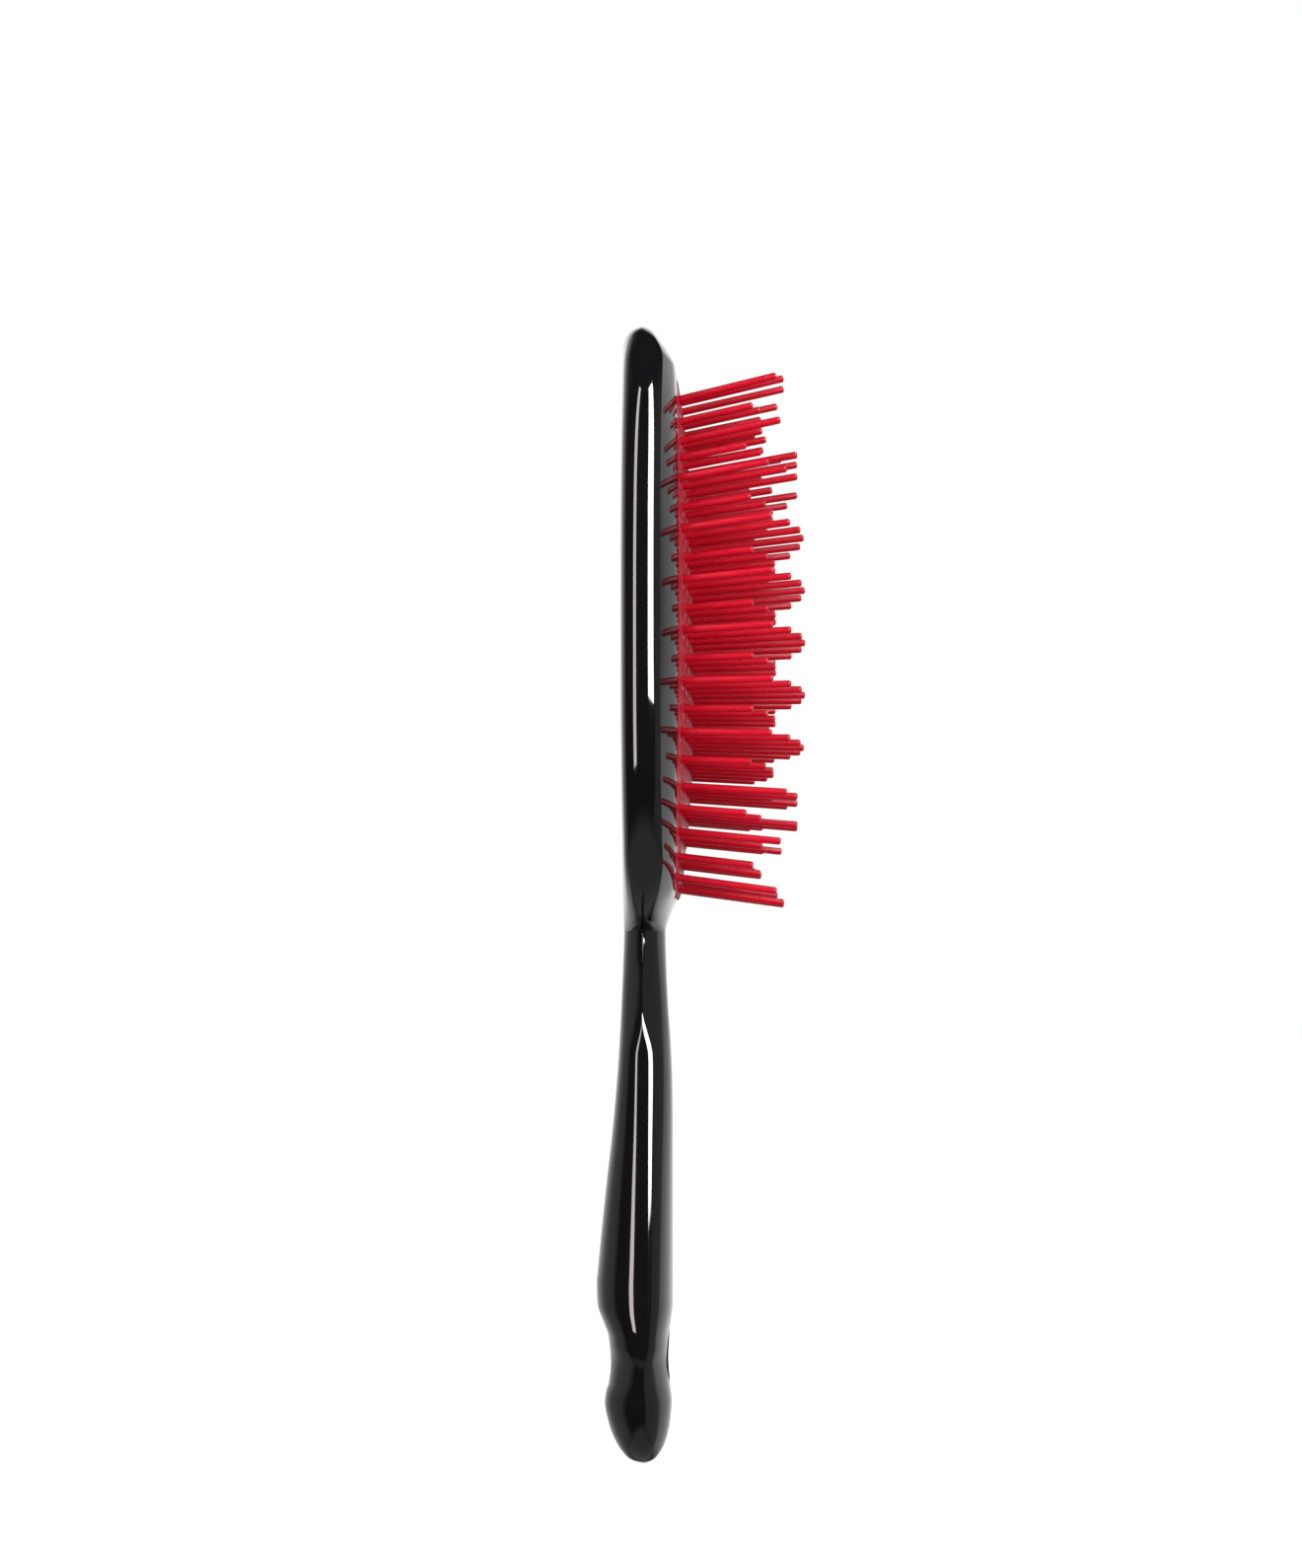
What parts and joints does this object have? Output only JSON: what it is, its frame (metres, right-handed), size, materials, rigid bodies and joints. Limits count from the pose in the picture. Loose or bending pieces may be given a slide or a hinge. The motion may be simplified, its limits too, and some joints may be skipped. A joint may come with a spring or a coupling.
{
  "type": "detangling hair brush",
  "caption": "Hand-held detangling hair brush: glossy oval head and grip with a hanging hole, and a crowned pad with rocking rows of long and short flexible pins.",
  "frame": {"origin": "centre of the hanging hole near the end of the handle, on the middle plane of the body", "axes": "+Z along the handle towards the tip of the head, +X the way the pins point, Y across the head"},
  "size_m": [0.0397, 0.075, 0.215],
  "materials": {
    "gloss_body": "high gloss, polished mould",
    "red_pad": "translucent soft elastomer",
    "red_pins": "translucent flexible plastic",
    "carrier": "plain moulded"
  },
  "bodies": {
    "handle": {"handle_body": "gloss_body", "pad": "red_pad", "strip_carrier": "carrier"},
    "strip_01": {"pin_strip_01": "red_pins"},
    "strip_02": {"pin_strip_02": "red_pins"},
    "strip_03": {"pin_strip_03": "red_pins"},
    "strip_04": {"pin_strip_04": "red_pins"},
    "strip_05": {"pin_strip_05": "red_pins"},
    "strip_06": {"pin_strip_06": "red_pins"},
    "strip_07": {"pin_strip_07": "red_pins"},
    "strip_08": {"pin_strip_08": "red_pins"},
    "strip_09": {"pin_strip_09": "red_pins"},
    "strip_10": {"pin_strip_10": "red_pins"},
    "strip_11": {"pin_strip_11": "red_pins"},
    "strip_12": {"pin_strip_12": "red_pins"},
    "strip_13": {"pin_strip_13": "red_pins"},
    "strip_14": {"pin_strip_14": "red_pins"},
    "strip_15": {"pin_strip_15": "red_pins"},
    "strip_16": {"pin_strip_16": "red_pins"},
    "strip_17": {"pin_strip_17": "red_pins"},
    "strip_18": {"pin_strip_18": "red_pins"},
    "strip_19": {"pin_strip_19": "red_pins"},
    "strip_20": {"pin_strip_20": "red_pins"},
    "strip_21": {"pin_strip_21": "red_pins"}
  },
  "joints": [
    {"name": "strip_01_rock", "type": "hinge", "parent": "handle", "child": "strip_01", "pos_m": [0.00295, 0, 0.1798], "axis": [0, 1, 0], "range_deg": [-5, 5], "stiffness_Nm_per_rad": 0.03},
    {"name": "strip_02_rock", "type": "hinge", "parent": "handle", "child": "strip_02", "pos_m": [0.00339, 0, 0.17525], "axis": [0, 1, 0], "range_deg": [-5, 5], "stiffness_Nm_per_rad": 0.03},
    {"name": "strip_03_rock", "type": "hinge", "parent": "handle", "child": "strip_03", "pos_m": [0.00378, 0, 0.1707], "axis": [0, 1, 0], "range_deg": [-5, 5], "stiffness_Nm_per_rad": 0.03},
    {"name": "strip_04_rock", "type": "hinge", "parent": "handle", "child": "strip_04", "pos_m": [0.00412, 0, 0.16616], "axis": [0, 1, 0], "range_deg": [-5, 5], "stiffness_Nm_per_rad": 0.03},
    {"name": "strip_05_rock", "type": "hinge", "parent": "handle", "child": "strip_05", "pos_m": [0.00442, 0, 0.16161], "axis": [0, 1, 0], "range_deg": [-5, 5], "stiffness_Nm_per_rad": 0.03},
    {"name": "strip_06_rock", "type": "hinge", "parent": "handle", "child": "strip_06", "pos_m": [0.00467, 0, 0.15707], "axis": [0, 1, 0], "range_deg": [-5, 5], "stiffness_Nm_per_rad": 0.03},
    {"name": "strip_07_rock", "type": "hinge", "parent": "handle", "child": "strip_07", "pos_m": [0.00487, 0, 0.15252], "axis": [0, 1, 0], "range_deg": [-5, 5], "stiffness_Nm_per_rad": 0.03},
    {"name": "strip_08_rock", "type": "hinge", "parent": "handle", "child": "strip_08", "pos_m": [0.00502, 0, 0.14797], "axis": [0, 1, 0], "range_deg": [-5, 5], "stiffness_Nm_per_rad": 0.03},
    {"name": "strip_09_rock", "type": "hinge", "parent": "handle", "child": "strip_09", "pos_m": [0.00513, 0, 0.14343], "axis": [0, 1, 0], "range_deg": [-5, 5], "stiffness_Nm_per_rad": 0.03},
    {"name": "strip_10_rock", "type": "hinge", "parent": "handle", "child": "strip_10", "pos_m": [0.00519, 0, 0.13888], "axis": [0, 1, 0], "range_deg": [-5, 5], "stiffness_Nm_per_rad": 0.03},
    {"name": "strip_11_rock", "type": "hinge", "parent": "handle", "child": "strip_11", "pos_m": [0.0052, 0, 0.13434], "axis": [0, 1, 0], "range_deg": [-5, 5], "stiffness_Nm_per_rad": 0.03},
    {"name": "strip_12_rock", "type": "hinge", "parent": "handle", "child": "strip_12", "pos_m": [0.00516, 0, 0.12979], "axis": [0, 1, 0], "range_deg": [-5, 5], "stiffness_Nm_per_rad": 0.03},
    {"name": "strip_13_rock", "type": "hinge", "parent": "handle", "child": "strip_13", "pos_m": [0.00508, 0, 0.12524], "axis": [0, 1, 0], "range_deg": [-5, 5], "stiffness_Nm_per_rad": 0.03},
    {"name": "strip_14_rock", "type": "hinge", "parent": "handle", "child": "strip_14", "pos_m": [0.00495, 0, 0.1207], "axis": [0, 1, 0], "range_deg": [-5, 5], "stiffness_Nm_per_rad": 0.03},
    {"name": "strip_15_rock", "type": "hinge", "parent": "handle", "child": "strip_15", "pos_m": [0.00477, 0, 0.11615], "axis": [0, 1, 0], "range_deg": [-5, 5], "stiffness_Nm_per_rad": 0.03},
    {"name": "strip_16_rock", "type": "hinge", "parent": "handle", "child": "strip_16", "pos_m": [0.00454, 0, 0.1116], "axis": [0, 1, 0], "range_deg": [-5, 5], "stiffness_Nm_per_rad": 0.03},
    {"name": "strip_17_rock", "type": "hinge", "parent": "handle", "child": "strip_17", "pos_m": [0.00427, 0, 0.10706], "axis": [0, 1, 0], "range_deg": [-5, 5], "stiffness_Nm_per_rad": 0.03},
    {"name": "strip_18_rock", "type": "hinge", "parent": "handle", "child": "strip_18", "pos_m": [0.00395, 0, 0.10251], "axis": [0, 1, 0], "range_deg": [-5, 5], "stiffness_Nm_per_rad": 0.03},
    {"name": "strip_19_rock", "type": "hinge", "parent": "handle", "child": "strip_19", "pos_m": [0.00358, 0, 0.09796], "axis": [0, 1, 0], "range_deg": [-5, 5], "stiffness_Nm_per_rad": 0.03},
    {"name": "strip_20_rock", "type": "hinge", "parent": "handle", "child": "strip_20", "pos_m": [0.00317, 0, 0.09342], "axis": [0, 1, 0], "range_deg": [-5, 5], "stiffness_Nm_per_rad": 0.03},
    {"name": "strip_21_rock", "type": "hinge", "parent": "handle", "child": "strip_21", "pos_m": [0.0027, 0, 0.08887], "axis": [0, 1, 0], "range_deg": [-5, 5], "stiffness_Nm_per_rad": 0.03}
  ]
}
